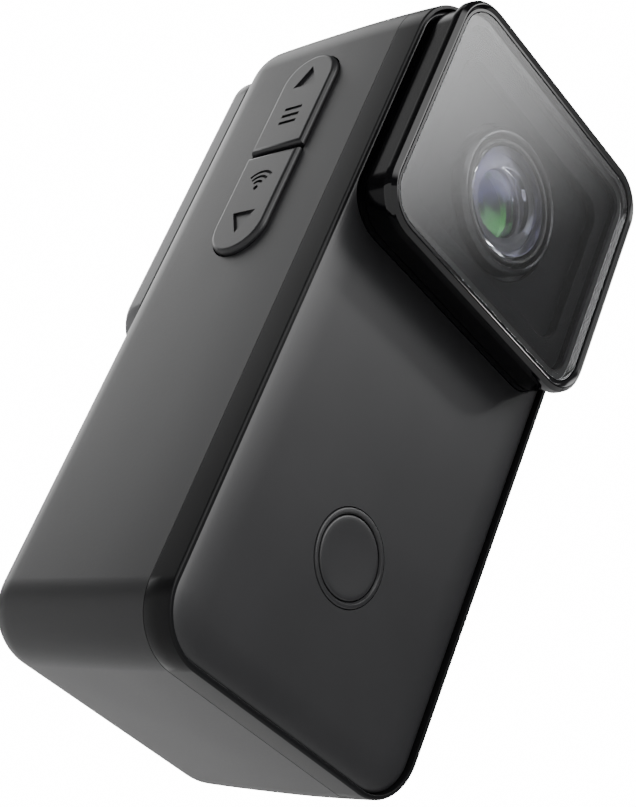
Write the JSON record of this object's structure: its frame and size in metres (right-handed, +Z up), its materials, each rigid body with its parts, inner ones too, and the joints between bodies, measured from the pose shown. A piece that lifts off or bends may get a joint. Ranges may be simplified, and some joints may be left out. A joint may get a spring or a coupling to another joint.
{
  "type": "action camera",
  "caption": "Thumb-size black action camera: square lens head, record button, two side keys, rear screen and battery door.",
  "frame": {"origin": "middle of the flat base of the body", "axes": "+Z up along the body, the lens looks along -Y, the side keys are on -X and the card and USB sockets on +X"},
  "size_m": [0.0285, 0.0262, 0.0604],
  "materials": {
    "shell_plastic": "satin black, fine texture",
    "frame_plastic": "satin black, smoother than the shell",
    "gloss_black": "polished black",
    "cover_glass": "coated, clear",
    "lens_glass": "multi-coated",
    "display": "dark display",
    "black_rubber": "soft, matt",
    "steel": "nickel plated",
    "circuit_board": "solder mask",
    "chip_plastic": "moulded",
    "battery_wrap": "printed film, no text",
    "contact_metal": "gold plated"
  },
  "bodies": {
    "root": {"main_shell": "shell_plastic", "front_frame": "frame_plastic", "front_cover": "shell_plastic", "frame_screw_1": "steel", "frame_screw_2": "steel", "frame_screw_3": "steel", "frame_screw_4": "steel", "head_housing": "gloss_black", "lens_bezel": "gloss_black", "front_glass": "cover_glass", "glass_seal": "black_rubber", "lens_mask": "frame_plastic", "lens_collar": "gloss_black", "front_lens": "lens_glass", "lens_barrel": "gloss_black", "second_lens": "lens_glass", "aperture_disc": "frame_plastic", "lens_spacer": "frame_plastic", "rear_lens": "lens_glass", "lens_holder": "frame_plastic", "ir_filter": "lens_glass", "image_sensor": "chip_plastic", "sensor_board": "circuit_board", "sensor_screw_1": "steel", "sensor_screw_2": "steel", "main_board": "circuit_board", "board_screw_1": "steel", "board_screw_2": "steel", "processor_shield": "steel", "heat_spreader": "contact_metal", "wireless_antenna": "contact_metal", "microphone": "steel", "status_light_guide": "cover_glass", "port_board": "circuit_board", "usb_port": "steel", "card_socket": "steel", "speaker": "chip_plastic", "screen_bezel": "gloss_black", "screen_glass": "cover_glass", "display_panel": "display", "record_button_ring": "gloss_black", "record_switch": "steel", "side_key_seal": "black_rubber", "upper_key_switch": "steel", "lower_key_switch": "steel", "key_board": "circuit_board", "battery_tray": "frame_plastic", "battery": "battery_wrap", "battery_contacts": "contact_metal", "battery_pull_tab": "black_rubber", "door_hinge_pin": "steel"},
    "record_button": {"record_button": "shell_plastic"},
    "upper_key": {"upper_key": "shell_plastic"},
    "lower_key": {"lower_key": "shell_plastic"},
    "battery_door": {"battery_door": "shell_plastic", "door_seal": "black_rubber"},
    "door_latch": {"door_latch": "gloss_black"},
    "memory_card": {"memory_card": "chip_plastic"}
  },
  "joints": [
    {"name": "record_button_press", "type": "slide", "parent": "root", "child": "record_button", "axis": [0, 1, 0], "range_m": [0, 0.0004], "stiffness_N_per_m": 1500},
    {"name": "upper_key_press", "type": "slide", "parent": "root", "child": "upper_key", "axis": [1, 0, 0], "range_m": [0, 0.0004], "stiffness_N_per_m": 1500},
    {"name": "lower_key_press", "type": "slide", "parent": "root", "child": "lower_key", "axis": [1, 0, 0], "range_m": [0, 0.0004], "stiffness_N_per_m": 1500},
    {"name": "battery_door_hinge", "type": "hinge", "parent": "root", "child": "battery_door", "pos_m": [0, 0.0106, 0.0042], "axis": [-1, 0, 0], "range_deg": [0, 95]},
    {"name": "door_latch_slide", "type": "slide", "parent": "battery_door", "child": "door_latch", "axis": [0, 0, 1], "range_m": [0, 0.0012]},
    {"name": "memory_card_slide", "type": "slide", "parent": "root", "child": "memory_card", "axis": [1, 0, 0], "range_m": [-0.0008, 0.012]}
  ]
}
